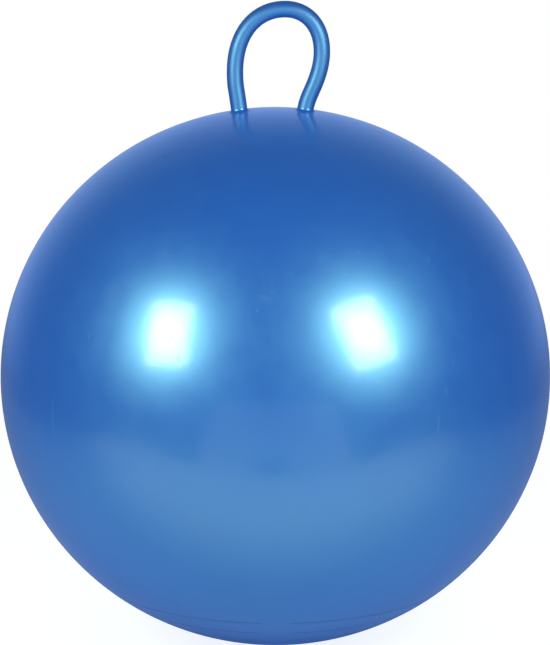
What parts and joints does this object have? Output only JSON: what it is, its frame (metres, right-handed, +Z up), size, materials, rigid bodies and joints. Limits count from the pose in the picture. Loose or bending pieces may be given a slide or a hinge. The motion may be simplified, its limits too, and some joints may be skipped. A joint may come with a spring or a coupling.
{
  "type": "hopper ball",
  "caption": "Inflated soft ball to sit and bounce on, with a loop of flexible tube on top as its handle and a stopper valve at the back",
  "frame": {"origin": "centre of the flat patch that the ball rests on", "axes": "+Z is up, through the ball's pole; X runs across the handle loop from its left foot to its right foot; -Y is the front, and the valve is at the back"},
  "size_m": [0.5, 0.5, 0.5842],
  "materials": {
    "pearl_shell": "gloss",
    "pearl_tube": "gloss",
    "white_plastic": "satin"
  },
  "bodies": {
    "ball": {"ball_shell": "pearl_shell", "left_leg": "pearl_tube", "right_leg": "pearl_tube", "left_anchor": "white_plastic", "right_anchor": "white_plastic", "valve_seat": "pearl_shell"},
    "handle": {"handle_loop": "pearl_tube"},
    "stopper": {"valve_plug": "white_plastic"}
  },
  "joints": [
    {"name": "handle_flex", "type": "hinge", "parent": "ball", "child": "handle", "pos_m": [0, 0, 0.4955], "axis": [1, 0, 0], "range_deg": [-40, 40], "stiffness_Nm_per_rad": 1.2, "deforming": ["left_leg", "right_leg"]},
    {"name": "valve_pull", "type": "slide", "parent": "ball", "child": "stopper", "axis": [0, 0.866, -0.5], "range_m": [0, 0.022]}
  ]
}
